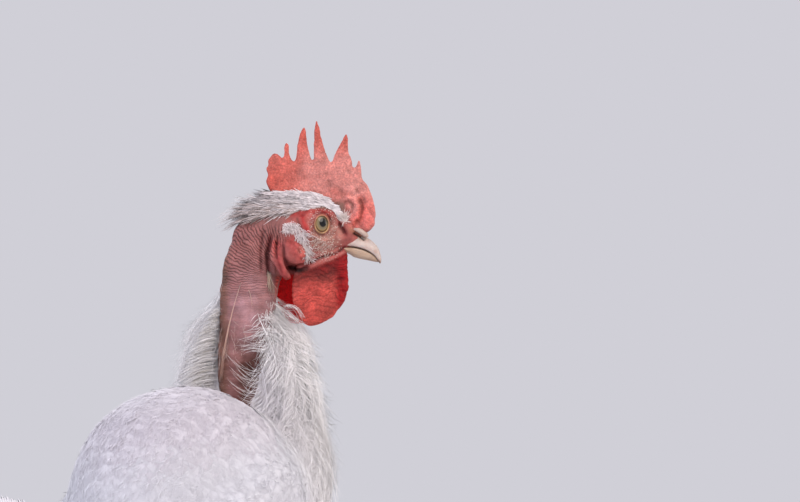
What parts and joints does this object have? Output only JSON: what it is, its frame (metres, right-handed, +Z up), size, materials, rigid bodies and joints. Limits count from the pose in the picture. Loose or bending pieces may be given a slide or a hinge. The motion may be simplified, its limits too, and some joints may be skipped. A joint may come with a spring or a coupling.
{
  "type": "rooster",
  "caption": "Life-size still model of a white naked-neck rooster standing with its head turned, with comb, wattles, bare neck, wings, tail and clawed feet.",
  "frame": {"origin": "on the floor, under the middle of the whole bird's box", "axes": "+X the way the trunk faces, +Y to the bird's left, +Z up"},
  "size_m": [0.4732, 0.1784, 0.5649],
  "materials": {
    "white_feather": "soft white feathers",
    "red_comb": "moist grained skin",
    "red_face": "fine folded skin",
    "neck_skin": "dry wrinkled skin",
    "horn": "satin pale horn",
    "eyeball": "wet and clear",
    "leg_scale": "overlapping scales"
  },
  "bodies": {
    "root": {"back": "white_feather", "beak_lower": "horn", "beak_upper": "horn", "breast": "white_feather", "claw_hind_left": "horn", "claw_hind_right": "horn", "claw_inner_left": "horn", "claw_inner_right": "horn", "claw_middle_left": "horn", "claw_middle_right": "horn", "claw_outer_left": "horn", "claw_outer_right": "horn", "comb": "red_comb", "ear_lobe_left": "red_comb", "ear_lobe_right": "red_comb", "eye_left": "eyeball", "eye_right": "eyeball", "head": "red_face", "head_cap": "white_feather", "neck_lower": "neck_skin", "neck_upper": "neck_skin", "ruff": "white_feather", "saddle": "white_feather", "shank_left": "leg_scale", "shank_right": "leg_scale", "spur_left": "horn", "spur_right": "horn", "tail_fan_left": "white_feather", "tail_fan_right": "white_feather", "tail_sickle_low_left": "white_feather", "tail_sickle_low_right": "white_feather", "tail_sickle_main_left": "white_feather", "tail_sickle_main_right": "white_feather", "tail_sickle_second_left": "white_feather", "tail_sickle_second_right": "white_feather", "tail_sickle_third_left": "white_feather", "tail_sickle_third_right": "white_feather", "tail_stub": "white_feather", "thigh_left": "white_feather", "thigh_right": "white_feather", "toe_hind_left": "leg_scale", "toe_hind_right": "leg_scale", "toe_inner_left": "leg_scale", "toe_inner_right": "leg_scale", "toe_middle_left": "leg_scale", "toe_middle_right": "leg_scale", "toe_outer_left": "leg_scale", "toe_outer_right": "leg_scale", "wattle_left": "red_comb", "wattle_right": "red_comb", "wing_primaries_left": "white_feather", "wing_primaries_right": "white_feather", "wing_secondaries_left": "white_feather", "wing_secondaries_right": "white_feather", "wing_shoulder_left": "white_feather", "wing_shoulder_right": "white_feather"}
  },
  "joints": []
}
